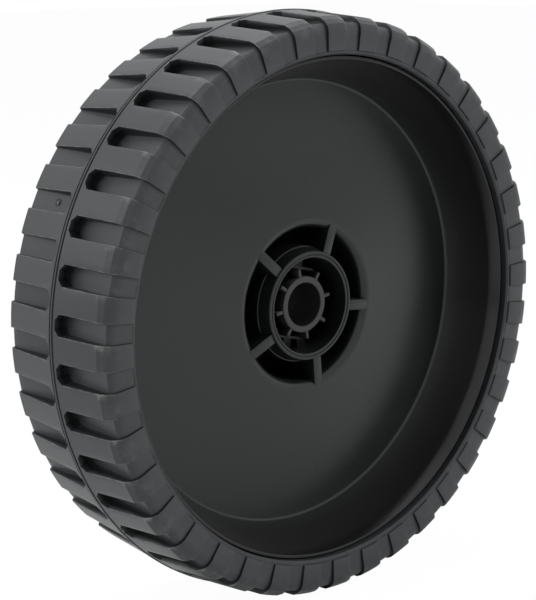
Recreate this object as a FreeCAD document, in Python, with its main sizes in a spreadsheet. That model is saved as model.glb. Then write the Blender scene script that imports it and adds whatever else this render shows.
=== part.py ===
import math
import os

import FreeCAD
import Part
import Sketcher

V = FreeCAD.Vector

# Sizes in millimetres and degrees. Axial places are measured from the wheel's middle plane,
# and the dished face looks along -Y. Clock angles run clockwise from the top, seen from that face.
SIZES = (
    ("full_turn", 360.0),
    # rim
    ("half_width", 22.0),
    ("rim_radius", 72.9),
    ("lip_setback", 2.7),
    ("lip_width", 1.2),
    ("flare_width", 2.3),
    ("flare_depth", 3.0),
    ("wall_slope", 3.7),
    ("wall_foot", 1.1),
    # disc and hub well
    ("disc_edge_face", 2.1),
    ("disc_rise", 6.25),
    ("disc_thickness", 3.2),
    ("well_radius", 24.0),
    ("well_floor", 9.5),
    ("well_round", 1.0),
    ("well_round_drop", 0.1),
    ("cup_wall", 3.0),
    # hub ring and its ribs
    ("hub_bore", 11.0),
    ("hub_setback", 2.5),
    ("ring_step", 3.1),
    ("ring_floor", 5.5),
    ("ring_wall", 2.4),
    ("ring_rise", 1.35),
    ("ring_chamfer", 0.7),
    ("ledge_width", 0.8),
    ("ledge_depth", 4.2),
    ("rib_count", 5),
    ("rib_phase", 24.9),
    ("rib_width", 3.1),
    ("rib_sink", 0.5),
    ("rib_reach", 1.2),
    ("rib_inner_drop", 0.4),
    ("rib_outer_drop", 0.2),
    # tyre section
    ("tyre_depth", 12.1),
    ("tyre_start_phase", 0.74),
    ("ridge_half", 0.7),
    ("ridge_rise", 0.25),
    ("seam_width", 0.35),
    ("seam_depth", 0.7),
    ("near_tread_drop", 1.1),
    ("near_shoulder_width", 4.2),
    ("near_bevel_width", 1.1),
    ("near_bevel_drop", 1.25),
    ("near_side_drop", 4.48),
    ("far_tread_drop", 1.9),
    ("far_shoulder_width", 0.6),
    ("far_side_drop", 0.7),
    ("lug_foot_setback", 0.3),
    ("base_setback", 1.4),
    ("base_width", 1.1),
    # tread slots
    ("lug_count", 40),
    ("near_phase", 3.24),
    ("row_stagger", 4.0),
    ("slot_depth", 3.2),
    ("slot_half_width", 2.85),
    ("slot_land", 1.3),
    ("slot_narrowing", 1.8),
    ("slot_overrun", 4.0),
    ("recess_setback", 1.25),
    ("recess_overlap", 0.45),
    # axle bush
    ("axle_radius", 6.35),
    ("sleeve_wall", 1.95),
    ("sleeve_front", 6.9),
    ("pocket_floor", 11.5),
    ("shell_wall", 1.1),
    ("shell_corner", 0.47),
    ("shell_drop", 2.3),
    ("stub_count", 8),
    ("stub_phase", -9.4),
    ("stub_width", 1.1),
    ("stub_sink", 0.5),
    ("stub_drop", 0.2),
    ("stub_setback", 0.3),
    ("pad_count", 2),
    ("pad_middle", 12.9),
    ("pad_spread", 12.75),
    ("pad_angle", 14.5),
    ("pad_drop", 3.0),
)
SIZE = dict(SIZES)
SHELL_SIDES = 8

# Radii and axial places that several outlines share, as sums of sizes.
TREAD = "rim_radius + tyre_depth - ridge_rise"
RIDGE = "rim_radius + tyre_depth"
FLOOR = TREAD + " - slot_depth"
LUG_FOOT = "rim_radius + base_width"
FLARE = "rim_radius - lip_width - flare_width"
WALL_FOOT = FLARE + " - wall_slope"
DISC = WALL_FOOT + " - wall_foot"
WELL_FACE = "- disc_edge_face - disc_rise"
RING_FRONT = WELL_FACE + " - ring_rise"
HUB_BACK = "half_width - hub_setback"
RING_BORE = "hub_bore + ring_step"
RING = RING_BORE + " + ring_wall"
LEDGE = RING + " + ledge_width"
SLEEVE = "axle_radius + sleeve_wall"
SHELL = "hub_bore - shell_wall"

doc = FreeCAD.newDocument("wheel")
sheet = doc.addObject("Spreadsheet::Sheet", "dims")
for row, (alias, number) in enumerate(SIZES, start=1):
    sheet.set("A%d" % row, alias)
    sheet.set("B%d" % row, str(number))
    sheet.setAlias("B%d" % row, alias)
doc.recompute()


def total(text):
    """Number and sheet expression of a sum such as '- half_width + lip_setback'."""
    sign = 1.0
    number = 0.0
    words = []
    for word in text.split():
        if word in ("+", "-"):
            sign = -1.0 if word == "-" else 1.0
            words.append(word)
        else:
            number += sign * SIZE[word]
            words.append("dims." + word)
            sign = 1.0
    return number, " ".join(words)


def bind(feature, name, text):
    """Sets a property from a sum of sizes and ties it to the sheet."""
    number, words = total(text)
    setattr(feature, name, number)
    feature.setExpression(name, words)


def origin_feature(body, role):
    """The body's own origin plane or axis with the given role."""
    for feature in body.Origin.OriginFeatures:
        if feature.Role == role:
            return feature
    raise ValueError(role)


def new_body(label):
    """An empty body with its label and place."""
    body = doc.addObject("PartDesign::Body", label)
    body.Label = label
    body.Placement = FreeCAD.Placement(V(0, 0, 0), FreeCAD.Rotation())
    return body


def new_sketch(body, name, role):
    """A sketch on one of the body's origin planes."""
    sketch = body.newObject("Sketcher::SketchObject", name)
    sketch.AttachmentSupport = [(origin_feature(body, role), "")]
    sketch.MapMode = "FlatFace"
    sketch.Visibility = False
    return sketch


def outline(sketch, corners):
    """A closed outline whose corners sit at sums of sizes."""
    spots = [(total(across), total(up)) for across, up in corners]
    count = len(spots)
    for index, (across, up) in enumerate(spots):
        next_across, next_up = spots[(index + 1) % count]
        begin = V(across[0], up[0], 0)
        end = V(next_across[0], next_up[0], 0)
        sketch.addGeometry(Part.LineSegment(begin, end), False)
    for index in range(count):
        sketch.addConstraint(Sketcher.Constraint("Coincident", index, 2, (index + 1) % count, 1))
    for index, (across, up) in enumerate(spots):
        for kind, (number, words) in (("DistanceX", across), ("DistanceY", up)):
            place = sketch.addConstraint(Sketcher.Constraint(kind, index, 1, number))
            sketch.setExpression("Constraints[%d]" % place, words)
    return sketch


def section(body, name, corners, phase=None):
    """A half section through the axle line at a clock angle: corners are axial place and radius."""
    sketch = new_sketch(body, name, "YZ_Plane")
    if phase:
        angle, words = total(phase)
        turn = FreeCAD.Rotation(V(1, 0, 0), angle)
        sketch.AttachmentOffset = FreeCAD.Placement(V(0, 0, 0), turn)
        sketch.setExpression("AttachmentOffset.Rotation.Angle", words)
    return outline(sketch, corners)


def turned(body, kind, name, sketch):
    """A revolution or groove of a half section about the axle line, even about the section."""
    feature = body.newObject("PartDesign::" + kind, name)
    feature.Profile = sketch
    feature.ReferenceAxis = (sketch, ["H_Axis"])
    feature.Midplane = True
    bind(feature, "Angle", "full_turn")
    return feature


def plate(body, name, sketch, thickness):
    """A pad of a half section, even about it."""
    feature = body.newObject("PartDesign::Pad", name)
    feature.Profile = sketch
    feature.Midplane = True
    bind(feature, "Length", thickness)
    return feature


def repeated(body, name, originals, count):
    """The features repeated evenly about the axle line."""
    pattern = body.newObject("PartDesign::PolarPattern", name)
    pattern.Originals = originals
    pattern.Axis = (origin_feature(body, "Y_Axis"), [""])
    bind(pattern, "Angle", "full_turn")
    pattern.Occurrences = int(SIZE[count])
    pattern.setExpression("Occurrences", "dims." + count)
    body.Tip = pattern
    return pattern


def slot_sketch(body, name, phase, corners):
    """An outline on the slot floor's plane, square to the spoke at a clock angle."""
    sketch = new_sketch(body, name, "XY_Plane")
    angle, angle_words = total(phase)
    floor, floor_words = total(FLOOR)
    turn = FreeCAD.Rotation(V(0, 1, 0), angle)
    sketch.AttachmentOffset = FreeCAD.Placement(turn.multVec(V(0, 0, floor)), turn)
    sketch.setExpression("AttachmentOffset.Rotation.Angle", angle_words)
    for axis, wave in (("x", "sin"), ("z", "cos")):
        words = "(%s) * %s((%s) * 1 deg)" % (floor_words, wave, angle_words)
        sketch.setExpression("AttachmentOffset.Base." + axis, words)
    return outline(sketch, corners)


def tapered_cut(body, name, sketch, length, outwards):
    """A pocket from the slot floor's plane, whose flanks lie on spokes."""
    cut = body.newObject("PartDesign::Pocket", name)
    cut.Profile = sketch
    cut.Reversed = outwards
    bind(cut, "Length", length)
    floor, floor_words = total(FLOOR)
    sign = 1 if outwards else -1
    cut.TaperAngle = sign * math.degrees(math.atan(SIZE["slot_half_width"] / floor))
    cut.setExpression("TaperAngle", "%d * atan(dims.slot_half_width / (%s))" % (sign, floor_words))
    return cut


def slot_row(body, side, phase):
    """One row of slots: each runs from its narrowing end beside the ridge out over the shoulder."""
    sign = "-" if side == "near" else "+"
    end = sign + " slot_land"
    wide = end + " " + sign + " slot_narrowing"
    outside = sign + " half_width " + sign + " slot_overrun"
    cuts = [tapered_cut(body, side + "_slot", slot_sketch(body, side + "_slot_outline", phase, (
        ("slot_half_width - slot_narrowing", end),
        ("slot_half_width", wide),
        ("slot_half_width", outside),
        ("- slot_half_width", outside),
        ("- slot_half_width", wide),
        ("- slot_half_width + slot_narrowing", end),
    )), "slot_depth + slot_overrun", True)]
    if side == "near":
        recess = "- half_width + recess_setback"
        cuts.append(tapered_cut(body, "near_recess", slot_sketch(body, "near_recess_outline", phase, (
            ("slot_half_width", recess),
            ("slot_half_width", outside),
            ("- slot_half_width", outside),
            ("- slot_half_width", recess),
        )), "tyre_depth - ridge_rise - slot_depth - base_width + recess_overlap", False))
    return repeated(body, side + "_slots", cuts, "lug_count")


def make_tyre():
    """Moulded ring with a parting ridge, two staggered rows of slots and lugged sidewalls."""
    body = new_body("tyre")
    near_tread = TREAD + " - near_tread_drop"
    far_tread = TREAD + " - far_tread_drop"
    sketch = section(body, "tyre_section", (
        ("- half_width + base_setback", "rim_radius"),
        ("- half_width + base_setback", LUG_FOOT),
        ("- half_width + lug_foot_setback", LUG_FOOT),
        ("- half_width", near_tread + " - near_side_drop"),
        ("- half_width + near_bevel_width", near_tread + " - near_bevel_drop"),
        ("- half_width + near_shoulder_width", near_tread),
        ("- ridge_half", TREAD),
        ("- ridge_half + seam_width", RIDGE + " - seam_depth"),
        ("- ridge_half + seam_width", RIDGE),
        ("ridge_half", TREAD),
        ("half_width - far_shoulder_width", far_tread),
        ("half_width", far_tread + " - far_side_drop"),
        ("half_width - lug_foot_setback", "rim_radius"),
    ), "tyre_start_phase")
    turned(body, "Revolution", "tyre_ring", sketch)
    slot_row(body, "near", "near_phase")
    slot_row(body, "far", "near_phase + row_stagger")
    return body


def make_wheel_body():
    """One moulding: rim, cone disc, hub well with its ribs, and hub ring."""
    body = new_body("wheel_body")
    sketch = section(body, "wheel_section", (
        (HUB_BACK, "hub_bore"),
        ("ring_floor", "hub_bore"),
        ("ring_floor", RING_BORE),
        (RING_FRONT, RING_BORE),
        (RING_FRONT, RING + " - ring_chamfer"),
        (RING_FRONT + " + ring_chamfer", RING),
        (RING_FRONT + " + ledge_depth", RING),
        (RING_FRONT + " + ledge_depth", LEDGE),
        ("well_floor", LEDGE),
        ("well_floor", "well_radius"),
        (WELL_FACE + " + well_round", "well_radius"),
        (WELL_FACE + " + well_round_drop", "well_radius + well_round"),
        ("- disc_edge_face", DISC),
        ("- disc_edge_face - wall_foot", WALL_FOOT),
        ("- half_width + lip_setback + flare_depth", FLARE),
        ("- half_width + lip_setback", "rim_radius - lip_width"),
        ("- half_width + lip_setback", "rim_radius"),
        ("half_width - lip_setback", "rim_radius"),
        ("half_width - lip_setback", FLARE),
        ("- disc_edge_face + disc_thickness", FLARE),
        (WELL_FACE + " + disc_thickness", "well_radius + cup_wall"),
        ("well_floor + cup_wall", "well_radius + cup_wall"),
        ("well_floor + cup_wall", LEDGE),
        (HUB_BACK, LEDGE),
    ))
    turned(body, "Revolution", "wheel_turning", sketch)
    rib_sketch = section(body, "rib_outline", (
        (RING_FRONT + " + rib_inner_drop", RING + " - rib_sink"),
        (WELL_FACE + " + rib_outer_drop", "well_radius + rib_reach"),
        ("well_floor + rib_sink", "well_radius + rib_reach"),
        ("well_floor + rib_sink", RING + " - rib_sink"),
    ), "rib_phase")
    rib = plate(body, "rib", rib_sketch, "rib_width")
    repeated(body, "ribs", [rib], "rib_count")
    return body


def shell_outline(body):
    """The shell's flats round a circle, square to the axle line at the hub ring's floor."""
    sketch = new_sketch(body, "shell_outline", "XZ_Plane")
    turn = FreeCAD.Rotation(V(0, 0, 1), -SIZE["stub_phase"])
    sketch.AttachmentOffset = FreeCAD.Placement(V(0, 0, -SIZE["ring_floor"]), turn)
    sketch.setExpression("AttachmentOffset.Base.z", "-dims.ring_floor")
    sketch.setExpression("AttachmentOffset.Rotation.Angle", "-dims.stub_phase")
    radius, radius_words = total("hub_bore + shell_corner")
    step = 2.0 * math.pi / SHELL_SIDES
    spots = []
    for index in range(SHELL_SIDES):
        spots.append(V(math.cos(index * step), math.sin(index * step), 0) * radius)
    for index, spot in enumerate(spots):
        sketch.addGeometry(Part.LineSegment(spot, spots[(index + 1) % SHELL_SIDES]), False)
    for index in range(SHELL_SIDES):
        sketch.addConstraint(Sketcher.Constraint("Coincident", index, 2, (index + 1) % SHELL_SIDES, 1))
    for index, spot in enumerate(spots):
        angle = "(%d * dims.full_turn / %d * 1 deg)" % (index, SHELL_SIDES)
        for kind, number, wave in (("DistanceX", spot.x, "cos"), ("DistanceY", spot.y, "sin")):
            place = sketch.addConstraint(Sketcher.Constraint(kind, index, 1, number))
            sketch.setExpression("Constraints[%d]" % place, "(%s) * %s%s" % (radius_words, wave, angle))
    hole_radius, hole_words = total(SHELL)
    hole = sketch.addGeometry(Part.Circle(V(0, 0, 0), V(0, 0, 1), hole_radius), False)
    sketch.addConstraint(Sketcher.Constraint("Coincident", hole, 3, -1, 1))
    place = sketch.addConstraint(Sketcher.Constraint("Radius", hole, hole_radius))
    sketch.setExpression("Constraints[%d]" % place, hole_words)
    return sketch


def make_axle_bush():
    """Bearing sleeve with radial stubs in an eight-sided shell, and pads that centre it in the hub ring."""
    body = new_body("axle_bush")
    sketch = section(body, "bush_section", (
        ("- sleeve_front", "axle_radius"),
        ("- sleeve_front", SLEEVE),
        ("pocket_floor", SLEEVE),
        ("pocket_floor", SHELL),
        ("ring_floor", SHELL),
        ("ring_floor", "hub_bore"),
        (HUB_BACK, "hub_bore"),
        (HUB_BACK, "axle_radius"),
    ))
    turned(body, "Revolution", "bush_turning", sketch)
    shell = body.newObject("PartDesign::Pad", "shell")
    shell.Profile = shell_outline(body)
    bind(shell, "Length", "ring_floor + sleeve_front - shell_drop")
    stub_sketch = section(body, "stub_outline", (
        ("- sleeve_front + stub_drop", SLEEVE + " - stub_sink"),
        ("- sleeve_front + stub_drop", "hub_bore - stub_setback"),
        ("- sleeve_front + shell_drop + stub_sink", "hub_bore - stub_setback"),
        ("- sleeve_front + shell_drop + stub_sink", SHELL + " + stub_sink"),
        ("pocket_floor + stub_sink", SHELL + " + stub_sink"),
        ("pocket_floor + stub_sink", SLEEVE + " - stub_sink"),
    ), "stub_phase")
    stub = plate(body, "stub", stub_sketch, "stub_width")
    repeated(body, "stubs", [stub], "stub_count")
    pads = []
    for mark, sign in (("a", "-"), ("b", "+")):
        pad_sketch = section(body, "pad_outline_" + mark, (
            ("- sleeve_front + pad_drop", SHELL + " + stub_setback"),
            ("- sleeve_front + pad_drop", RING_BORE),
            ("ring_floor", RING_BORE),
            ("ring_floor", SHELL + " + stub_setback"),
        ), "pad_middle " + sign + " pad_spread")
        pad = turned(body, "Revolution", "pad_" + mark, pad_sketch)
        bind(pad, "Angle", "pad_angle")
        pads.append(pad)
    repeated(body, "pads", pads, "pad_count")
    return body


def sound(body):
    """The body's shape, after a look at its features."""
    for feature in body.Group:
        if "Invalid" in feature.State or "Error" in feature.State:
            raise ValueError("%s: %s" % (feature.Name, ", ".join(feature.State)))
    shape = body.Shape
    if shape.isNull() or not shape.isValid() or len(shape.Solids) != 1:
        raise ValueError("%s isn't one sound solid" % body.Label)
    return shape


bodies = [make_tyre(), make_wheel_body(), make_axle_bush()]
doc.recompute()
os.makedirs("parts", exist_ok=True)
for piece in bodies:
    sound(piece).exportStep("parts/%s.step" % piece.Label)
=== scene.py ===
import math

import bmesh
import bpy
from mathutils import Matrix, Vector


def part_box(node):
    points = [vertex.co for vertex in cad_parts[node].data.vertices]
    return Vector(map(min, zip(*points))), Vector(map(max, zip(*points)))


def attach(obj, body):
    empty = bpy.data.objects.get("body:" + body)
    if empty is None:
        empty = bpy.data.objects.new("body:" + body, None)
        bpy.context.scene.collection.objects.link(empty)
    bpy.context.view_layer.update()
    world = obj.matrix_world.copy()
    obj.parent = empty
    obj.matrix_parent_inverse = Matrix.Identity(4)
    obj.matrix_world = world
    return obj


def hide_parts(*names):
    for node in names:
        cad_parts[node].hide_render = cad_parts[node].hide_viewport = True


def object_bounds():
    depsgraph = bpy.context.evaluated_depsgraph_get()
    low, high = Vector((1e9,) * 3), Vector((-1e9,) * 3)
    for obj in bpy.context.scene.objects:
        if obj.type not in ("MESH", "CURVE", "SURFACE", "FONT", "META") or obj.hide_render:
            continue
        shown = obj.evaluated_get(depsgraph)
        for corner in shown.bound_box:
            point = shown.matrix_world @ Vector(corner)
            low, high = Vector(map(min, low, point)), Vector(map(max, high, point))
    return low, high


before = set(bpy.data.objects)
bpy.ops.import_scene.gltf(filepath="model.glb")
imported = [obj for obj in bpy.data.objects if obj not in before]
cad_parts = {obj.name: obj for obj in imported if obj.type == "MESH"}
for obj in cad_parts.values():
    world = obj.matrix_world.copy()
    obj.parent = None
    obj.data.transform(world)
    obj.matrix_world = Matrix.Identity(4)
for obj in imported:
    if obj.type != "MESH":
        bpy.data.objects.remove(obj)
cad_low, cad_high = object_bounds()

# Sizes in millimetres. "Out" is the distance from the wheel's middle plane towards a side,
# and clock angles run clockwise from the top, seen from the dished face, which looks along -Y.
MM = 0.001
HALF_WIDTH = (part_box("tyre")[1].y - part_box("tyre")[0].y) / 2 / MM
RIDGE_RADIUS = 85.0
RIM_RADIUS = 72.9
NEAR = -1
FAR = 1

# Tread: a parting ridge, and on each side of it a row of lugs between closed-ended slots.
LUG_COUNT = 40
PITCH_ANGLE = 360.0 / LUG_COUNT
NEAR_PHASE = 3.24
ROW_STAGGER = 4.0
RIDGE_HALF = 0.7
FAR_GROOVE = 0.95
TREAD_RADIUS = RIDGE_RADIUS - 0.25
SLOT_ANGLE = 4.0
SLOT_DEPTH = 3.85
SLOT_FLOOR = TREAD_RADIUS - SLOT_DEPTH
SLOT_LAND = 1.3
SLOT_NARROWING = 1.8
SLOT_STEP_DEPTH = 2.0
SLOT_STEP_WIDTH = 0.16
RECESS_SETBACK = 0.8
LUG_FOOT_RADIUS = 74.0
LUG_EDGE_ROUND = 0.3
SLOT_FLOOR_ROUND = 0.28
LUG_CREASE = (18.3, 83.6)
SHOULDER_CREASE = (20.05, 82.75)
SIDE_CREASE = (21.4, 81.6)
FLOOR_CREASE = (20.0, 81.75)
NEAR_FLOOR_RISE = 0.94
FAR_FLOOR_RISE = 1.06
MARK_OUT = 11.2
MARK_CLOCK = 295.4

# Rim: the lip on both sides, and where the disc meets the rim's inner wall.
RIM_EDGE = 19.3
RIM_SEAT = RIM_RADIUS - 0.06
DISC_EDGE = (2.05, 65.3)
REAR_RIM_RADIUS = 69.4

# Hub: five ribs across the well, and a bush with eight stubs and two pairs of pads.
RING_BORE = 14.1
RING_RADIUS = 16.0
CORE_RADIUS = 17.1
RING_FRONT = 9.7
WELL_RADIUS = 22.6
WELL_FACE = 8.56
WELL_EDGE_ROUND = 2.6
RIB_REACH = 25.5
WELL_FLOOR = -9.5
RIB_COUNT = 5
RIB_PHASE = 24.9
RIB_WIDTH = 3.1
RIB_OUTER_FACE = 8.1
HUB_BACK = -19.5
HUB_BORE = 11.0
RING_FLOOR = -5.5
AXLE_RADIUS = 6.35
SLEEVE_RADIUS = 8.3
SLEEVE_FRONT = 6.9
SHELL_FRONT = SLEEVE_FRONT - 3.6
PAD_FRONT = SLEEVE_FRONT - 5.0
SHELL_BORE = HUB_BORE - 1.1
STUB_COUNT = 8
STUB_PHASE = -9.4
PAD_MIDDLE = 12.9
PAD_SPREAD = 12.75
PAD_ANGLE = 14.5

# View: angles in degrees, distances in millimetres.
VIEW_AZIMUTH = 41.69
VIEW_ELEVATION = 11.01
VIEW_DISTANCE = 539.2
VIEW_LENS = 110.03


def polar(out, radius, clock):
    """The point at a distance in front of the middle plane, a radius and a clock angle."""
    turn = math.radians(clock)
    return Vector((radius * math.sin(turn), -out, radius * math.cos(turn)))


def turned_by(clock):
    """Turns about the axle line by a clock angle."""
    return Matrix.Rotation(math.radians(clock), 4, "Y")


def start(add, name, **settings):
    """A new piece from one of the primitive operators, in edit mode with all of it selected."""
    bpy.ops.object.select_all(action="DESELECT")
    add(**settings)
    piece = bpy.context.object
    piece.name = name
    bpy.ops.object.mode_set(mode="EDIT")
    bpy.ops.mesh.select_all(action="SELECT")
    return piece


def pick(piece, kind, test):
    """Selects the vertices, edges or faces whose corners all pass a test of their place."""
    bpy.ops.mesh.select_mode(type=kind)
    bpy.ops.mesh.select_all(action="DESELECT")
    shape = bmesh.from_edit_mesh(piece.data)
    elements = {"VERT": shape.verts, "EDGE": shape.edges, "FACE": shape.faces}[kind]
    for element in elements:
        corners = [element] if kind == "VERT" else element.verts
        if all(test(corner.co) for corner in corners):
            element.select_set(True)
    shape.select_flush_mode()
    bmesh.update_edit_mesh(piece.data)


def cut(place, normal):
    """Cuts the selected faces along a plane."""
    bpy.ops.mesh.bisect(plane_co=place, plane_no=normal)


def close_up(smooth_angle):
    """Merges doubles, turns the faces outwards and leaves edit mode with soft shading."""
    bpy.ops.mesh.select_mode(type="VERT")
    bpy.ops.mesh.select_all(action="SELECT")
    bpy.ops.mesh.remove_doubles(threshold=0.004)
    bpy.ops.mesh.dissolve_degenerate(threshold=0.002)
    bpy.ops.mesh.select_all(action="SELECT")
    bpy.ops.mesh.normals_make_consistent(inside=False)
    bpy.ops.object.mode_set(mode="OBJECT")
    bpy.ops.object.shade_smooth_by_angle(angle=math.radians(smooth_angle))


def joined(name, pieces):
    """Several pieces as one, with a name."""
    bpy.ops.object.select_all(action="DESELECT")
    for piece in pieces:
        piece.select_set(True)
    bpy.context.view_layer.objects.active = pieces[0]
    bpy.ops.object.join()
    pieces[0].name = name
    return pieces[0]


def copies(piece, turns):
    """The piece turned to the first clock angle, and a copy with its own mesh at each of the others."""
    made = [piece]
    for turn in turns[1:]:
        copy = piece.copy()
        copy.data = piece.data.copy()
        bpy.context.scene.collection.objects.link(copy)
        copy.data.transform(turned_by(turn))
        made.append(copy)
    piece.data.transform(turned_by(turns[0]))
    return made


def arc(centre, radius, first, last, steps):
    """Points on an arc of a section; angles are from straight out sideways towards the tread."""
    points = []
    for step in range(steps + 1):
        angle = math.radians(first + (last - first) * step / steps)
        points.append((centre[0] + radius * math.cos(angle), centre[1] + radius * math.sin(angle)))
    return points


def rounded(corners):
    """Points of a closed section whose corners are (out, radius, rounding)."""
    points = []
    count = len(corners)
    for index, (out, radius, rounding) in enumerate(corners):
        here = Vector((out, radius))
        if rounding == 0:
            points.append(here)
            continue
        before = (Vector(corners[index - 1][:2]) - here).normalized()
        after = (Vector(corners[(index + 1) % count][:2]) - here).normalized()
        half = before.angle(after) / 2
        reach = rounding / math.tan(half)
        centre = here + (before + after).normalized() * rounding / math.sin(half)
        begin = here + before * reach - centre
        sweep = begin.angle_signed(here + after * reach - centre)
        steps = max(3, round(abs(math.degrees(sweep)) / 15))
        for step in range(steps + 1):
            swing = Matrix.Rotation(-sweep * step / steps, 2)
            points.append(centre + swing @ begin)
    return points


def lathe(name, corners, steps, smooth_angle=30):
    """A ring: a section drawn by extruding a point from corner to corner, spun about the axle line."""
    points = rounded(corners)
    piece = start(bpy.ops.mesh.primitive_plane_add, name, size=1.0)
    bpy.ops.mesh.merge(type="CENTER")
    bpy.ops.transform.translate(value=(0.0, -points[0][0], points[0][1]))
    for before, after in zip(points, points[1:]):
        move = (0.0, before[0] - after[0], after[1] - before[1])
        bpy.ops.mesh.extrude_vertices_move(TRANSFORM_OT_translate={"value": move})
    first = Vector((0.0, -points[0][0], points[0][1]))
    last = Vector((0.0, -points[-1][0], points[-1][1]))
    pick(piece, "VERT", lambda place: (place - first).length < 1e-4 or (place - last).length < 1e-4)
    bpy.ops.mesh.edge_face_add()
    bpy.ops.mesh.select_all(action="SELECT")
    bpy.ops.mesh.spin(steps=steps, angle=2 * math.pi, center=(0, 0, 0), axis=(0, 1, 0))
    close_up(smooth_angle)
    return piece


def bar(name, low, high, round_edges, segments=2):
    """A block between two corners with its edges rounded."""
    piece = start(bpy.ops.mesh.primitive_cube_add, name, size=1.0)
    bpy.ops.transform.resize(value=tuple(high[axis] - low[axis] for axis in range(3)))
    bpy.ops.transform.translate(value=tuple((high[axis] + low[axis]) / 2 for axis in range(3)))
    bpy.ops.mesh.bevel(offset=round_edges, segments=segments, affect="EDGES")
    return piece


# Tyre


def tread_line(out, start_out, end_out, end_radius):
    """The radius of the tread at a distance out, falling evenly from the ridge to the shoulder."""
    share = (out - start_out) / (end_out - start_out)
    return TREAD_RADIUS + (end_radius - TREAD_RADIUS) * share


def floor_line(out, rise):
    """The radius of a slot's floor at a distance out, rising evenly from its closed end."""
    return SLOT_FLOOR + rise * (out - SLOT_LAND) / (HALF_WIDTH - SLOT_LAND)


def near_section():
    """Places across the near half as (lug, slot) pairs, and the stations where its slots start and end."""
    wall = HALF_WIDTH - RECESS_SETBACK
    pairs = []
    for out, radius in (
        (-FAR_GROOVE, TREAD_RADIUS),
        (-FAR_GROOVE + 0.06, TREAD_RADIUS - 0.6),
        (-0.34, TREAD_RADIUS - 0.55),
        (-0.2, RIDGE_RADIUS),
        (0.22, RIDGE_RADIUS),
        (0.38, RIDGE_RADIUS - 0.12),
        (0.45, RIDGE_RADIUS - 0.75),
        (0.58, RIDGE_RADIUS - 0.7),
        (RIDGE_HALF, TREAD_RADIUS),
    ):
        pairs.append(((out, radius), (out, radius)))
    slot_start = len(pairs)
    for out in (SLOT_LAND, SLOT_LAND + SLOT_NARROWING, 8.0, 13.0, 17.0, LUG_CREASE[0]):
        lug = (out, tread_line(out, RIDGE_HALF, *LUG_CREASE))
        pairs.append((lug, (out, floor_line(out, NEAR_FLOOR_RISE))))
    shoulder = (
        SHOULDER_CREASE, (20.72, 82.18), SIDE_CREASE, (21.62, 81.1), (21.8, 80.5), (21.93, 79.9),
        (HALF_WIDTH, 79.2))
    corner = (
        FLOOR_CREASE, (20.4, 81.4), (20.75, 81.0), (20.95, 80.55), (21.08, 80.1), (21.17, 79.6),
        (wall, 79.0))
    pairs.extend(zip(shoulder, corner))
    for lug, slot in (
        ((21.86, 77.0), (wall, 77.0)),
        ((21.74, 74.5), (wall, 74.6)),
        ((21.62, 74.12), (wall - 0.01, 74.2)),
        ((21.3, LUG_FOOT_RADIUS), (wall - 0.02, 74.1)),
    ):
        pairs.append((lug, slot))
    slot_stop = len(pairs)
    base = wall - 0.04
    for place in ((base, LUG_FOOT_RADIUS), (base, RIM_RADIUS + 0.45), (base - 0.5, RIM_RADIUS)):
        pairs.append((place, place))
    return pairs, slot_start, slot_stop


def far_section():
    """Places across the far half, as for the near half."""
    shoulder_round = 0.5
    shoulder_out = 21.46
    shoulder_radius = 82.8
    floor_rise = FAR_FLOOR_RISE
    wall = HALF_WIDTH - 0.25
    first = FAR_GROOVE + 0.04
    pairs = [((first, TREAD_RADIUS), (first, TREAD_RADIUS))]
    slot_start = len(pairs)
    for out in (SLOT_LAND, SLOT_LAND + SLOT_NARROWING, 8.0, 14.0, 19.5, shoulder_out):
        lug = (out, tread_line(out, first, shoulder_out, shoulder_radius))
        pairs.append((lug, (out, floor_line(out, floor_rise))))
    centre = (HALF_WIDTH - shoulder_round, 82.3)
    corner = (wall - 0.22, floor_line(wall, floor_rise) - 0.25)
    pairs.extend(zip(arc(centre, shoulder_round, 80, 0, 4), arc(corner, 0.22, 80, 0, 4)))
    for lug in ((21.86, 78.0), (21.73, 74.2)):
        pairs.append((lug, (lug[0] - 0.22, lug[1])))
    slot_stop = len(pairs)
    for place in ((21.7, 73.55), (21.62, RIM_RADIUS + 0.15), (21.4, RIM_RADIUS)):
        pairs.append((place, place))
    return pairs, slot_start, slot_stop


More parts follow.
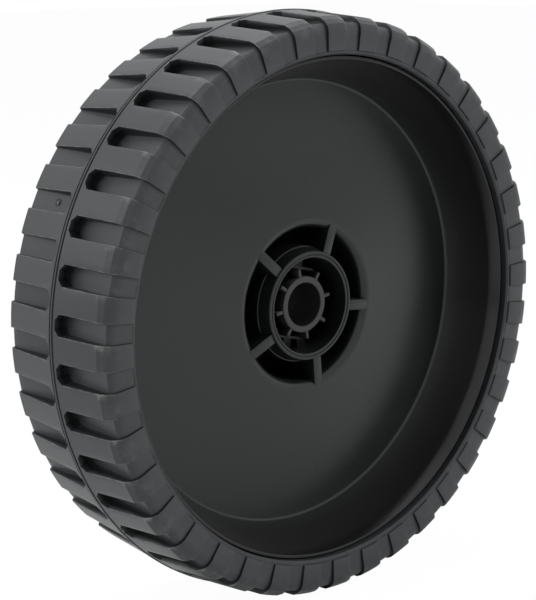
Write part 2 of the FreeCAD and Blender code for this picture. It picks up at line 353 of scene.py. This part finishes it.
def flat_pitch(name, rows, slot_start, slot_stop):
    """One pitch of a tread half laid flat: x runs round the wheel, y across it and z up out of it."""
    pitch = math.radians(PITCH_ANGLE) * TREAD_RADIUS
    half = math.radians(SLOT_ANGLE / 2) * TREAD_RADIUS
    narrow = half - SLOT_NARROWING
    end = rows[slot_start]
    slant = rows[slot_start + 1] - end
    stop = rows[slot_stop]
    length = rows[-1] - rows[0]
    piece = start(bpy.ops.mesh.primitive_plane_add, name, size=1.0)
    bpy.ops.transform.resize(value=(pitch, length, 1.0))
    bpy.ops.transform.translate(value=(0.0, rows[0] + length / 2, 0.0))
    for row in rows[1:-1]:
        bpy.ops.mesh.select_all(action="SELECT")
        cut((0, row, 0), (0, 1, 0))
    lug_quarter = (pitch / 2 - half) / 2
    for column in (-half - lug_quarter, -half, -narrow, narrow, half, half + lug_quarter):
        bpy.ops.mesh.select_all(action="SELECT")
        cut((column, 0, 0), (1, 0, 0))
    slack = 0.001
    for side in (-1, 1):
        pick(piece, "FACE", lambda place: (
            narrow - slack < side * place.x < half + slack
            and end - slack < place.y < end + slant + slack))
        cut((side * half, end + slant, 0), (side * slant, -SLOT_NARROWING, 0))

    def depth_in(place):
        """How far a place lies inside the slot's outline."""
        across = half - abs(place.x)
        along = place.y - end
        over = across * slant + along * SLOT_NARROWING - slant * SLOT_NARROWING
        return min(across, along, over / math.hypot(slant, SLOT_NARROWING))

    pick(piece, "FACE", lambda place: depth_in(place) > -slack and place.y < stop + slack)
    bpy.ops.mesh.extrude_region_move(TRANSFORM_OT_translate={"value": (0, 0, -SLOT_STEP_DEPTH)})
    bpy.ops.mesh.inset(thickness=SLOT_STEP_WIDTH)
    bpy.ops.mesh.extrude_region_move(
        TRANSFORM_OT_translate={"value": (0, 0, SLOT_STEP_DEPTH - SLOT_DEPTH)})
    pick(piece, "EDGE", lambda place: (
        abs(place.z + SLOT_DEPTH) < slack and abs(depth_in(place) - SLOT_STEP_WIDTH) < 0.02
        and place.y < stop - SLOT_STEP_WIDTH + slack))
    bpy.ops.mesh.bevel(offset=SLOT_FLOOR_ROUND, segments=3, affect="EDGES", clamp_overlap=True)
    pick(piece, "EDGE", lambda place: (
        abs(place.z) < slack and abs(depth_in(place)) < slack and place.y < stop + slack))
    bpy.ops.mesh.bevel(offset=LUG_EDGE_ROUND, segments=2, affect="EDGES", clamp_overlap=True)
    bpy.ops.object.mode_set(mode="OBJECT")
    return piece, pitch


def between(rows, places, row):
    """The place at a row, between the two stations beside it."""
    last = len(rows) - 2
    index = 0
    while index < last and rows[index + 1] < row:
        index += 1
    share = (row - rows[index]) / (rows[index + 1] - rows[index])
    first, second = Vector(places[index]), Vector(places[index + 1])
    return first + (second - first) * share


def tread_half(name, side, section, phase):
    """One half of the tread: a flat pitch repeated along a strip, and the strip wrapped round the wheel."""
    pairs, slot_start, slot_stop = section
    lug_places = [lug for lug, slot in pairs]
    slot_places = [slot for lug, slot in pairs]
    rows = [0.0]
    for before, after in zip(lug_places, lug_places[1:]):
        rows.append(rows[-1] + (Vector(after) - Vector(before)).length)
    piece, pitch = flat_pitch(name, rows, slot_start, slot_stop)
    slot_half = math.radians(SLOT_ANGLE / 2) * TREAD_RADIUS - 0.1
    strip = piece.modifiers.new("strip", "ARRAY")
    strip.count = LUG_COUNT
    strip.use_relative_offset = False
    strip.use_constant_offset = True
    strip.constant_offset_displace = (pitch, 0.0, 0.0)
    strip.use_merge_vertices = True
    strip.merge_threshold = 0.003
    bpy.ops.object.modifier_apply(modifier=strip.name)
    wear_and_highlight = piece.data.attributes.new("edge_wear_and_highlight", "FLOAT", "POINT")
    recess_shade = piece.data.attributes.new("slot_wall_painted_shade", "FLOAT", "POINT")
    for vertex in piece.data.vertices:
        place = vertex.co
        depth = min(1.0, max(0.0, -place.z / SLOT_DEPTH))
        # Painted shade: slot flanks, closed ends and the sidewall recess steps are marked here to be
        # darkened.
        recess_shade.data[vertex.index].value = 1.0 if 0.12 < depth < 0.97 else 0.0
        lug = between(rows, lug_places, place.y)
        slot = between(rows, slot_places, place.y)
        spot = lug + (slot - lug) * depth
        # Pale lug top edges and corners near the shoulder: partly real rubbing, partly a painted highlight.
        on_edge = 0.05 < -place.z / LUG_EDGE_ROUND < 0.8 and spot.y > SIDE_CREASE[1] - 0.2
        from_slot = (place.x + pitch / 2) % pitch - pitch / 2
        on_corner = (
            side == NEAR and -place.z < LUG_EDGE_ROUND and slot_half < -from_slot < slot_half + 0.5
            and LUG_CREASE[0] - 0.5 < spot.x < SHOULDER_CREASE[0] + 0.1)
        wear_and_highlight.data[vertex.index].value = on_edge + 0.8 * on_corner
        # Painted shade: the groove beside the ridge is marked to be darkened too, to draw a dark line.
        if abs(spot.x) < FAR_GROOVE and spot.y < TREAD_RADIUS - 0.3:
            recess_shade.data[vertex.index].value = 1.0
        clock = phase + math.degrees(place.x / TREAD_RADIUS)
        vertex.co = polar(-side * spot.x, spot.y, clock)
    return piece


def mould_mark():
    """A small round vent mark for a far slot's floor: a pip painted pale as a highlight, in a dished ring
    painted dark as shade.
    """
    mark = lathe("mould_mark", (
        (-0.3, 0.0, 0), (0.2, 0.0, 0), (0.2, 0.34, 0.08), (-0.02, 0.44, 0), (-0.02, 0.8, 0),
        (0.16, 0.92, 0.05), (0.16, 1.08, 0.05), (-0.3, 1.25, 0),
    ), 24)
    pale = mark.data.attributes.new("edge_wear_and_highlight", "FLOAT", "POINT")
    dark = mark.data.attributes.new("slot_wall_painted_shade", "FLOAT", "POINT")
    for vertex in mark.data.vertices:
        reach = math.hypot(vertex.co.x, vertex.co.z)
        # Painted highlight on the pip, and painted shade in the dished ring round it.
        pale.data[vertex.index].value = 1.0 if reach < 0.36 else 0.0
        dark.data[vertex.index].value = 1.0 if 0.4 < reach < 0.93 else 0.0
    return mark


def make_tyre():
    """The tyre: two wrapped tread halves bridged at the ridge and along the bore."""
    near = tread_half("near_tread", NEAR, near_section(), NEAR_PHASE)
    far = tread_half("far_tread", FAR, far_section(), NEAR_PHASE + ROW_STAGGER)
    tyre = joined("tyre_moulding", [near, far])
    bpy.ops.object.mode_set(mode="EDIT")
    bpy.ops.mesh.select_mode(type="VERT")
    bpy.ops.mesh.select_all(action="SELECT")
    bpy.ops.mesh.remove_doubles(threshold=0.004)
    pick(tyre, "EDGE", lambda place: (
        FAR_GROOVE - 0.01 < place.y < FAR_GROOVE + 0.05 and math.hypot(place.x, place.z) > SLOT_FLOOR))
    bpy.ops.mesh.bridge_edge_loops()
    pick(tyre, "EDGE", lambda place: abs(math.hypot(place.x, place.z) - RIM_RADIUS) < 0.001)
    bpy.ops.mesh.bridge_edge_loops()
    for out, radius in (LUG_CREASE, SHOULDER_CREASE, SIDE_CREASE, FLOOR_CREASE):
        pick(tyre, "EDGE", lambda place: (
            abs(place.y + out) < 0.02 and abs(math.hypot(place.x, place.z) - radius) < 0.05))
        bpy.ops.mesh.mark_sharp()
    close_up(32)
    mark = mould_mark()
    mark.data.transform(Matrix.Rotation(-math.pi / 2, 4, "X"))
    mark.data.transform(Matrix.Translation((0.0, MARK_OUT, floor_line(MARK_OUT, FAR_FLOOR_RISE))))
    mark.data.transform(turned_by(MARK_CLOCK))
    return joined("tyre_moulding", [tyre, mark])


# Wheel body


def make_wheel_body():
    """The wheel moulding: rim, cone disc and hub spun as one section, with five ribs across the well."""
    turning = lathe("wheel_moulding", (
        (HUB_BACK, HUB_BORE, 0.3),
        (RING_FLOOR, HUB_BORE, 0.0),
        (RING_FLOOR, RING_BORE, 0.3),
        (RING_FRONT - 0.1, RING_BORE, 0.25),
        (RING_FRONT - 0.1, RING_BORE + 0.6, 0.15),
        (RING_FRONT - 0.32, RING_BORE + 0.75, 0.0),
        (RING_FRONT - 0.32, RING_BORE + 0.95, 0.0),
        (RING_FRONT, RING_BORE + 1.1, 0.15),
        (RING_FRONT, RING_RADIUS, 0.5),
        (5.5, RING_RADIUS + 0.8, 0.12),
        (5.5, CORE_RADIUS, 0.12),
        (WELL_FLOOR, CORE_RADIUS, 0.6),
        (WELL_FLOOR, WELL_RADIUS, 1.0),
        (WELL_FACE, WELL_RADIUS, WELL_EDGE_ROUND),
        (*DISC_EDGE, 0.9),
        (16.0, 70.2, 14.0),
        (RIM_EDGE, 71.6, 0.3),
        (RIM_EDGE, RIM_RADIUS - 0.4, 0.2),
        (18.5, RIM_RADIUS - 0.36, 0.0),
        (18.3, RIM_SEAT, 0.0),
        (-RIM_EDGE, RIM_SEAT, 0.4),
        (-RIM_EDGE, REAR_RIM_RADIUS, 0.6),
        (-1.1, REAR_RIM_RADIUS, 2.0),
        (5.15, RIB_REACH + 1.5, 1.5),
        (-12.5, RIB_REACH + 1.5, 1.2),
        (-12.5, CORE_RADIUS, 1.0),
        (HUB_BACK, CORE_RADIUS, 0.5),
    ), 180)
    rib = bar(
        "rib", (-RIB_WIDTH / 2, -WELL_FACE, RING_RADIUS - 0.9), (RIB_WIDTH / 2, 10.0, RIB_REACH), 0.22)
    pick(rib, "VERT", lambda place: place.y < 0 and place.z < WELL_RADIUS - 2)
    bpy.ops.transform.translate(value=(0.0, WELL_FACE - RING_FRONT + 0.45, 0.0))
    pick(rib, "VERT", lambda place: place.y < 0 and place.z > WELL_RADIUS - 2)
    bpy.ops.transform.translate(value=(0.0, WELL_FACE - RIB_OUTER_FACE, 0.0))
    close_up(30)
    ribs = copies(rib, [RIB_PHASE + index * 360.0 / RIB_COUNT for index in range(RIB_COUNT)])
    return joined("wheel_moulding", [turning] + ribs)


# Axle bush


def shell_block():
    """The eight-sided shell round the bush, with flats outside and a round bore."""
    outer = HUB_BORE + 0.47
    shell = start(
        bpy.ops.mesh.primitive_circle_add, "shell", vertices=64, radius=SHELL_BORE,
        rotation=(math.pi / 2, 0, 0))
    bpy.ops.object.mode_set(mode="OBJECT")
    bpy.ops.object.transform_apply(location=False, rotation=True, scale=False)
    bpy.ops.object.mode_set(mode="EDIT")
    bpy.ops.transform.translate(value=(0.0, -RING_FLOOR, 0.0))
    bpy.ops.mesh.select_all(action="SELECT")
    bpy.ops.mesh.extrude_edges_move(TRANSFORM_OT_translate={"value": (0, RING_FLOOR - SHELL_FRONT, 0)})
    bpy.ops.mesh.extrude_edges_move(TRANSFORM_OT_translate={"value": (0, 0, 0)})
    push_to_flats(shell, outer)
    bpy.ops.mesh.extrude_edges_move(TRANSFORM_OT_translate={"value": (0, SHELL_FRONT - RING_FLOOR, 0)})
    close_up(20)
    shell.data.transform(turned_by(STUB_PHASE))
    return shell


def push_to_flats(piece, reach):
    """Moves the selected ring of points out to an octagon of this reach."""
    shape = bmesh.from_edit_mesh(piece.data)
    eighth = math.pi / 4
    for vertex in shape.verts:
        if vertex.select:
            turn = math.atan2(vertex.co.x, vertex.co.z)
            from_middle = (turn % eighth) - eighth / 2
            radius = reach * math.cos(eighth / 2) / math.cos(from_middle)
            vertex.co.x = radius * math.sin(turn)
            vertex.co.z = radius * math.cos(turn)
    bmesh.update_edit_mesh(piece.data)


def pad(clock):
    """A curved pad that centres the bush in the hub ring."""
    piece = start(bpy.ops.mesh.primitive_plane_add, "pad", size=1.0)
    bpy.ops.mesh.merge(type="CENTER")
    bpy.ops.transform.translate(value=(0.0, -PAD_FRONT, HUB_BORE - 0.8))
    reach = RING_BORE - HUB_BORE + 0.75
    bpy.ops.mesh.extrude_vertices_move(TRANSFORM_OT_translate={"value": (0, 0, reach)})
    bpy.ops.mesh.select_all(action="SELECT")
    bpy.ops.mesh.extrude_edges_move(TRANSFORM_OT_translate={"value": (0, PAD_FRONT - RING_FLOOR, 0)})
    bpy.ops.mesh.select_all(action="SELECT")
    bpy.ops.mesh.spin(steps=6, angle=math.radians(PAD_ANGLE), center=(0, 0, 0), axis=(0, 1, 0))
    bpy.ops.mesh.select_all(action="SELECT")
    bpy.ops.mesh.remove_doubles(threshold=0.002)
    bpy.ops.mesh.region_to_loop()
    bpy.ops.mesh.edge_face_add()
    close_up(30)
    piece.data.transform(turned_by(clock - PAD_ANGLE / 2))
    return piece


def make_axle_bush():
    """The bush: a sleeve with eight stubs in an eight-sided shell, and two pairs of pads."""
    sleeve = lathe("axle_bush_moulding", (
        (SLEEVE_FRONT, AXLE_RADIUS, 0.35),
        (SLEEVE_FRONT, SLEEVE_RADIUS, 0.3),
        (-11.5, SLEEVE_RADIUS, 0.3),
        (-11.5, SHELL_BORE, 0.3),
        (RING_FLOOR, SHELL_BORE, 0.0),
        (RING_FLOOR, HUB_BORE - 0.03, 0.0),
        (HUB_BACK + 0.05, HUB_BORE - 0.03, 0.3),
        (HUB_BACK + 0.05, AXLE_RADIUS, 0.4),
    ), 96)
    stub = bar(
        "stub", (-0.55, -SLEEVE_FRONT + 0.2, SLEEVE_RADIUS - 0.5), (0.55, 12.0, HUB_BORE - 0.3), 0.32, 3)
    close_up(30)
    stubs = copies(stub, [STUB_PHASE + index * 360.0 / STUB_COUNT for index in range(STUB_COUNT)])
    pads = []
    for middle in (PAD_MIDDLE, PAD_MIDDLE + 180.0):
        for side in (-1, 1):
            pads.append(pad(middle + side * PAD_SPREAD))
    return joined("axle_bush_moulding", [sleeve, shell_block()] + stubs + pads)


# Finishes


class Wire:
    """A node's output that takes plain arithmetic and can feed further nodes."""

    def __init__(self, tree, socket=None):
        self.tree = tree
        self.socket = socket

    def node(self, kind, settings=None, inputs=None, output=0):
        """A node of any kind: its settings first, then the values or wires of its sockets."""
        made = self.tree.nodes.new(kind)
        for name, value in (settings or {}).items():
            setattr(made, name, value)
        for name, value in (inputs or {}).items():
            if isinstance(value, Wire):
                self.tree.links.new(value.socket, made.inputs[name])
            else:
                made.inputs[name].default_value = value
        return Wire(self.tree, made.outputs[output])

    def math(self, operation, first, second):
        """A Math node on two numbers or wires."""
        return self.node("ShaderNodeMath", {"operation": operation}, {0: first, 1: second})

    def __add__(self, other):
        return self.math("ADD", self, other)

    def __radd__(self, other):
        return self.math("ADD", other, self)

    def __sub__(self, other):
        return self.math("SUBTRACT", self, other)

    def __rsub__(self, other):
        return self.math("SUBTRACT", other, self)

    def __mul__(self, other):
        return self.math("MULTIPLY", self, other)

    def __rmul__(self, other):
        return self.math("MULTIPLY", other, self)


def shade(red, green, blue):
    """A colour given in screen values from 0 to 255, as light values."""
    values = []
    for level in (red, green, blue):
        part = level / 255.0
        values.append(part / 12.92 if part <= 0.04045 else ((part + 0.055) / 1.055) ** 2.4)
    return (*values, 1.0)


def new_finish(name):
    """An empty material: its wire maker, its shader and the places on the piece."""
    material = bpy.data.materials.new(name)
    material.use_nodes = True
    tree = material.node_tree
    wire = Wire(tree)
    shader = tree.nodes["Principled BSDF"]
    places = wire.node("ShaderNodeTexCoord", output="Object")
    return material, wire, shader, places


def feed(wire, shader, name, value):
    """Links a wire to one of the shader's sockets."""
    wire.tree.links.new(value.socket, shader.inputs[name])


def noise(wire, places, scale, detail=3.0, roughness=0.5):
    """Even noise over the piece; scale is in waves per metre."""
    return wire.node("ShaderNodeTexNoise", {}, {
        "Vector": places, "Scale": scale, "Detail": detail, "Roughness": roughness})


def mixed(wire, share, first, second):
    """A colour between two others."""
    return wire.node("ShaderNodeMix", {"data_type": "RGBA"}, {0: share, 6: first, 7: second}, output=2)


def stepped(wire, value, low, high):
    """The value stretched from low..high to 0..1."""
    return wire.node("ShaderNodeMapRange", {"clamp": True}, {0: value, 1: low, 2: high, 3: 0.0, 4: 1.0})


def axle_distance(wire, places):
    """How far each place on the piece is from the axle line, in metres."""
    flat = wire.node("ShaderNodeVectorMath", {"operation": "MULTIPLY"}, {0: places, 1: (1.0, 0.0, 1.0)})
    return wire.node("ShaderNodeVectorMath", {"operation": "LENGTH"}, {0: flat}, output="Value")


def out_distance(wire, places):
    """How far each place is in front of the wheel's middle plane, in metres."""
    return wire.node("ShaderNodeVectorMath", {"operation": "DOT_PRODUCT"}, {
        0: places, 1: (0.0, -1.0, 0.0)}, output="Value")


def tyre_finish():
    """Satin moulded tread plastic with a fine grain, dust on the shoulder, pale lug edges that are partly
    rubbed and partly a painted highlight, and painted shade in the slots.
    """
    material, wire, shader, places = new_finish("tyre_tread")
    blotch = noise(wire, places, 90.0, 5.0, 0.6)
    grain = noise(wire, places, 1500.0, 2.0)
    wear_and_highlight = wire.node("ShaderNodeAttribute", {"attribute_name": "edge_wear_and_highlight"}, output="Fac")
    patch = stepped(wire, noise(wire, places, 420.0, 4.0), 0.42, 0.68)
    smudge = stepped(wire, noise(wire, places, 210.0, 5.0, 0.65), 0.5, 0.72)
    shoulder = stepped(wire, out_distance(wire, places), 0.0185, 0.0202)
    shoulder = shoulder * stepped(wire, axle_distance(wire, places), 0.0765, 0.0805)
    base = mixed(wire, blotch, shade(41, 44, 46), shade(56, 59, 61))
    base = mixed(wire, 0.3 * smudge * shoulder, base, shade(112, 114, 112))
    recess_shade = wire.node("ShaderNodeAttribute", {"attribute_name": "slot_wall_painted_shade"}, output="Fac")
    # Painted shade: the marked slot walls, ridge groove and vent ring are darkened to near black.
    base = mixed(wire, recess_shade, base, shade(10, 11, 11))
    # Pale lug edges: partly real rubbing, partly a painted highlight; the vent pip's paleness is a painted
    # highlight.
    feed(wire, shader, "Base Color", mixed(wire, wear_and_highlight * (0.14 + 0.6 * patch), base, shade(136, 138, 136)))
    feed(wire, shader, "Roughness", 0.36 + 0.1 * blotch)
    bump = wire.node("ShaderNodeBump", {}, {"Strength": 0.12, "Distance": 0.0002, "Height": grain})
    feed(wire, shader, "Normal", bump)
    shader.inputs["Specular IOR Level"].default_value = 0.4
    return material


def wheel_finish():
    """Satin moulded plastic with faint flow streaks and a fine grain, and painted shade on the rim's inner
    wall and deep in the well.
    """
    material, wire, shader, places = new_finish("wheel_satin")
    slant = wire.node("ShaderNodeMapping", {}, {
        "Vector": places, "Rotation": (0.0, 0.9, 0.0), "Scale": (1.0, 1.0, 3.0)})
    streaks = noise(wire, slant, 22.0, 4.0)
    grain = noise(wire, places, 2200.0, 2.0)
    base = mixed(wire, streaks, shade(19, 23, 22), shade(26, 30, 29))
    reach = axle_distance(wire, places)
    # Painted shade: the rim's inner wall and the deep part of the well are darkened.
    rim_wall = stepped(wire, reach, 0.0655, 0.067)
    inside = 1 - stepped(wire, reach, 0.0226, 0.0242)
    well_shade = inside * (1 - stepped(wire, out_distance(wire, places), 0.004, 0.0078))
    feed(wire, shader, "Base Color", mixed(wire, rim_wall + well_shade, base, shade(16, 16, 16)))
    feed(wire, shader, "Roughness", 0.25 + 0.06 * streaks - 0.08 * rim_wall)
    shader.inputs["Specular IOR Level"].default_value = 0.4
    bump = wire.node("ShaderNodeBump", {}, {"Strength": 0.08, "Distance": 0.0002, "Height": grain})
    feed(wire, shader, "Normal", bump)
    return material


def bush_finish():
    """Satin bearing plastic, a little lighter than the wheel, with painted shade in the bore and deep down.
    """
    material, wire, shader, places = new_finish("bush_satin")
    mottle = noise(wire, places, 220.0, 3.0)
    # Painted shade: the bore and the deep parts of the bush are darkened to near black.
    bore = 1 - stepped(wire, axle_distance(wire, places), 0.0064, 0.0066)
    deep = 1 - stepped(wire, out_distance(wire, places), 0.0024, 0.006)
    base = mixed(wire, mottle, shade(50, 51, 50), shade(58, 59, 58))
    feed(wire, shader, "Base Color", mixed(wire, bore + deep, base, shade(8, 8, 8)))
    feed(wire, shader, "Roughness", 0.28 + 0.08 * mottle + 0.4 * bore)
    shader.inputs["Specular IOR Level"].default_value = 0.25
    return material


def finished(piece, node, material):
    """Scales a piece to metres, gives it its finish and lets it stand for its node."""
    piece.data.transform(Matrix.Scale(MM, 4))
    piece.data.materials.clear()
    piece.data.materials.append(material)
    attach(piece, "root")
    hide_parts(node)


# Studio


def camera_view():
    """The camera: to the left of the dished face and a little above it, looking at the wheel's middle."""
    azimuth = math.radians(VIEW_AZIMUTH)
    elevation = math.radians(VIEW_ELEVATION)
    back = Vector((-math.sin(azimuth) * math.cos(elevation), -math.cos(azimuth) * math.cos(elevation),
                   math.sin(elevation)))
    right = Vector((0.0, 0.0, 1.0)).cross(back).normalized()
    up = back.cross(right)
    place = back * VIEW_DISTANCE - right * 6.15 + up * 0.34 - Vector((0.0, 0.2, 0.0))
    data = bpy.data.cameras.new("view")
    data.sensor_width = 36.0
    data.lens = VIEW_LENS
    data.clip_start = 0.01
    view = bpy.data.objects.new("view", data)
    bpy.context.scene.collection.objects.link(view)
    turn = Matrix((right, up, back)).transposed().to_4x4()
    view.matrix_world = Matrix.Translation(place * MM) @ turn
    bpy.context.scene.camera = view


def lamp(name, place, width, height, watts, mirrored=True):
    """A soft box of light that looks at the wheel's middle, with its place in metres.

    Gloss shows it only where mirrored.
    """
    data = bpy.data.lights.new(name, "AREA")
    data.shape = "RECTANGLE"
    data.size = width
    data.size_y = height
    data.energy = watts
    box = bpy.data.objects.new(name, data)
    bpy.context.scene.collection.objects.link(box)
    box.visible_glossy = mirrored
    box.location = place
    box.rotation_euler = (-Vector(place)).to_track_quat("-Z", "Y").to_euler()


def studio():
    """A white room: pale floor, white background and soft light from the left, above and the right."""
    world = bpy.data.worlds.new("room")
    bpy.context.scene.world = world
    world.use_nodes = True
    wire = Wire(world.node_tree)
    background = world.node_tree.nodes["Background"]
    rays = world.node_tree.nodes.new("ShaderNodeLightPath")
    seen = Wire(world.node_tree, rays.outputs["Is Camera Ray"])
    seen = seen + Wire(world.node_tree, rays.outputs["Is Glossy Ray"])
    seen = seen + Wire(world.node_tree, rays.outputs["Is Transmission Ray"])
    level = 0.15 + 0.85 * seen
    background.inputs["Color"].default_value = (1.0, 1.0, 1.0, 1.0)
    world.node_tree.links.new(level.socket, background.inputs["Strength"])
    lamp("left_softbox", (-0.95, 0.35, 0.6), 0.8, 0.8, 6.6)
    lamp("top_softbox", (0.0, 0.3, 1.1), 1.0, 0.8, 7.2)
    lamp("right_softbox", (0.78, -0.84, 0.8), 0.4, 0.4, 15.0, mirrored=False)
    bpy.ops.object.select_all(action="DESELECT")
    bpy.ops.mesh.primitive_plane_add(size=8.0, location=(0.0, 0.0, cad_low.z))
    floor = bpy.context.object
    floor.name = "floor"
    floor.data.materials.append(floor_finish())


def floor_finish():
    """Pale matt floor that the camera sees as white, with a faint shadow.

    Gloss sees it as white too, but only behind the wheel.
    """
    material = bpy.data.materials.new("floor_white")
    material.use_nodes = True
    tree = material.node_tree
    tree.nodes.clear()
    wire = Wire(tree)
    rays = tree.nodes.new("ShaderNodeLightPath")
    seen = Wire(tree, rays.outputs["Is Camera Ray"])
    places = wire.node("ShaderNodeTexCoord", output="Object")
    behind = stepped(wire, out_distance(wire, places), 0.0, -0.012)
    seen = seen + behind * Wire(tree, rays.outputs["Is Glossy Ray"])
    matt = wire.node("ShaderNodeBsdfDiffuse", {}, {"Color": (0.8, 0.8, 0.8, 1.0)})
    white = wire.node("ShaderNodeEmission", {}, {"Color": (1.0, 1.0, 1.0, 1.0), "Strength": 1.015})
    both = wire.node("ShaderNodeMixShader", {}, {0: seen * 0.96, 1: matt, 2: white})
    end = tree.nodes.new("ShaderNodeOutputMaterial")
    tree.links.new(both.socket, end.inputs["Surface"])
    return material


finished(make_tyre(), "tyre", tyre_finish())
finished(make_wheel_body(), "wheel_body", wheel_finish())
finished(make_axle_bush(), "axle_bush", bush_finish())
studio()
camera_view()
bpy.context.scene.view_settings.view_transform = "Standard"
